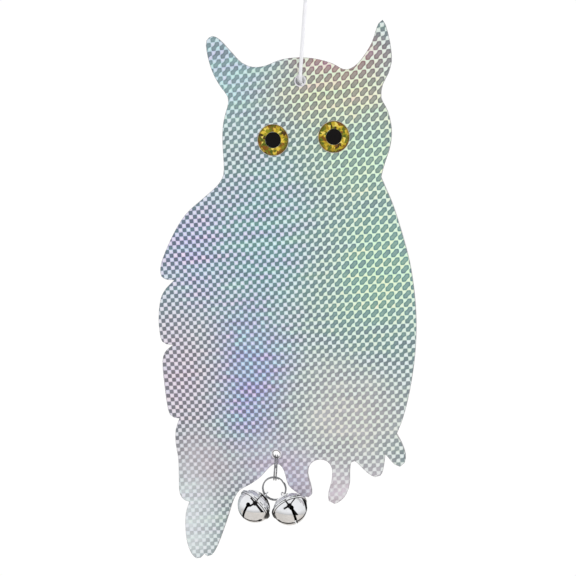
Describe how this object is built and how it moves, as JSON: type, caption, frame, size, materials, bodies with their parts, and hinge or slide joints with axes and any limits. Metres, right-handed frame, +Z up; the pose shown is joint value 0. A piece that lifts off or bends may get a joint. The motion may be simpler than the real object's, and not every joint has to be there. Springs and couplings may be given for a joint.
{
  "type": "reflective owl bird scarer",
  "caption": "Flat owl cut-out with chequered reflective faces, hung on a cord, with split rings and jingle bells below; it turns and rings in the wind to keep birds away.",
  "frame": {"origin": "inner top of the cord's loop, where a hook or branch bears", "axes": "+Z up along the cord, the owl's front face looks along -Y, +X to the right as the front is seen"},
  "size_m": [0.1811, 0.0281, 0.4417],
  "materials": {
    "board": "satin",
    "foil": "holographic chequered film",
    "iris_gold": "gold prismatic film",
    "pupil_black": "matt",
    "cord": "braided",
    "ring_steel": "polished",
    "bell_steel": "polished",
    "pellet_steel": "dull"
  },
  "bodies": {
    "hook_loop": {"cord_loop": "cord"},
    "knot": {"cord_knot": "cord"},
    "strand": {"cord_strand": "cord"},
    "owl": {"cord_bight": "cord", "cord_stopper_knot": "cord", "board_core": "board", "foil_front": "foil", "foil_back": "foil", "eye_iris_front_left": "iris_gold", "eye_iris_front_right": "iris_gold", "eye_iris_back_left": "iris_gold", "eye_iris_back_right": "iris_gold", "eye_pupil_front_left": "pupil_black", "eye_pupil_front_right": "pupil_black", "eye_pupil_back_left": "pupil_black", "eye_pupil_back_right": "pupil_black"},
    "upper_ring": {"plate_ring": "ring_steel"},
    "lower_ring": {"bell_ring": "ring_steel"},
    "left_bell": {"bell_cap_left": "bell_steel", "bell_cup_left": "bell_steel", "bell_bail_left": "bell_steel"},
    "right_bell": {"bell_cap_right": "bell_steel", "bell_cup_right": "bell_steel", "bell_bail_right": "bell_steel"},
    "left_pellet": {"bell_pellet_left": "pellet_steel"},
    "right_pellet": {"bell_pellet_right": "pellet_steel"}
  },
  "joints": [
    {"name": "cord_side_swing", "type": "hinge", "parent": "hook_loop", "child": "knot", "pos_m": [0, 0, -0.03], "axis": [0, 1, 0], "range_deg": [-40, 40]},
    {"name": "cord_front_swing", "type": "hinge", "parent": "knot", "child": "strand", "pos_m": [0, 0, -0.03], "axis": [1, 0, 0], "range_deg": [-40, 40]},
    {"name": "owl_spin", "type": "hinge", "parent": "strand", "child": "owl", "pos_m": [0, -0.0021, -0.07395], "axis": [0, 0, 1], "continuous": true},
    {"name": "plate_ring_swing", "type": "hinge", "parent": "owl", "child": "upper_ring", "pos_m": [0.00072, 0.0009, -0.35876], "axis": [0.9848, 0.1736, 0], "range_deg": [-35, 0]},
    {"name": "bell_ring_swing", "type": "hinge", "parent": "upper_ring", "child": "lower_ring", "pos_m": [0.00072, 0.0009, -0.36355], "axis": [0.9848, 0.1736, 0], "range_deg": [-20, 0]},
    {"name": "bell_left_swing", "type": "hinge", "parent": "lower_ring", "child": "left_bell", "pos_m": [-0.00563, 0.0009, -0.38453], "axis": [0.7431, 0, -0.6691], "range_deg": [-3, 60]},
    {"name": "bell_right_swing", "type": "hinge", "parent": "lower_ring", "child": "right_bell", "pos_m": [0.00791, 0.0009, -0.38334], "axis": [0.7071, 0, 0.7071], "range_deg": [-4, 7]},
    {"name": "bell_left_pellet_roll", "type": "hinge", "parent": "left_bell", "child": "left_pellet", "pos_m": [-0.01091, -0.00549, -0.39039], "axis": [1, 0, 0], "range_deg": [-30, 10]},
    {"name": "bell_right_pellet_roll", "type": "hinge", "parent": "right_bell", "child": "right_pellet", "pos_m": [0.01349, -0.00549, -0.38892], "axis": [1, 0, 0], "range_deg": [-30, 10]}
  ]
}
